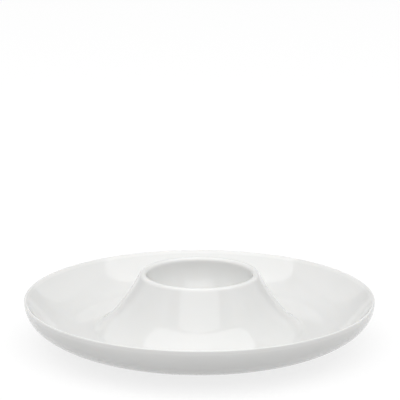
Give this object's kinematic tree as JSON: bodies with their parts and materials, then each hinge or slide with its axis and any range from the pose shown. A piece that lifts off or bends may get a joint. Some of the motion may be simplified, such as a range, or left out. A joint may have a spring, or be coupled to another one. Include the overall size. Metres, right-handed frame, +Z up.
{
  "type": "egg holder tray",
  "caption": "Round shallow dish with a curved wall and rolled rim, and a flared, hollow egg cup rising from its middle; glazed porcelain on a low foot ring.",
  "frame": {"origin": "centre of the foot ring's underside, on the surface that the plate stands on", "axes": "+Z up along the plate's axis of turning; the plate is round, so X and Y are any two level directions"},
  "size_m": [0.14, 0.14, 0.0296],
  "materials": {
    "glazed_porcelain": "white porcelain under a clear, smooth, glossy glaze",
    "bare_porcelain": "unglazed foot, wiped clean before firing, matt and fine-grained"
  },
  "bodies": {
    "root": {"foot_ring": "bare_porcelain", "dish": "glazed_porcelain", "cup_stand": "glazed_porcelain", "egg_cup": "glazed_porcelain"}
  },
  "joints": []
}
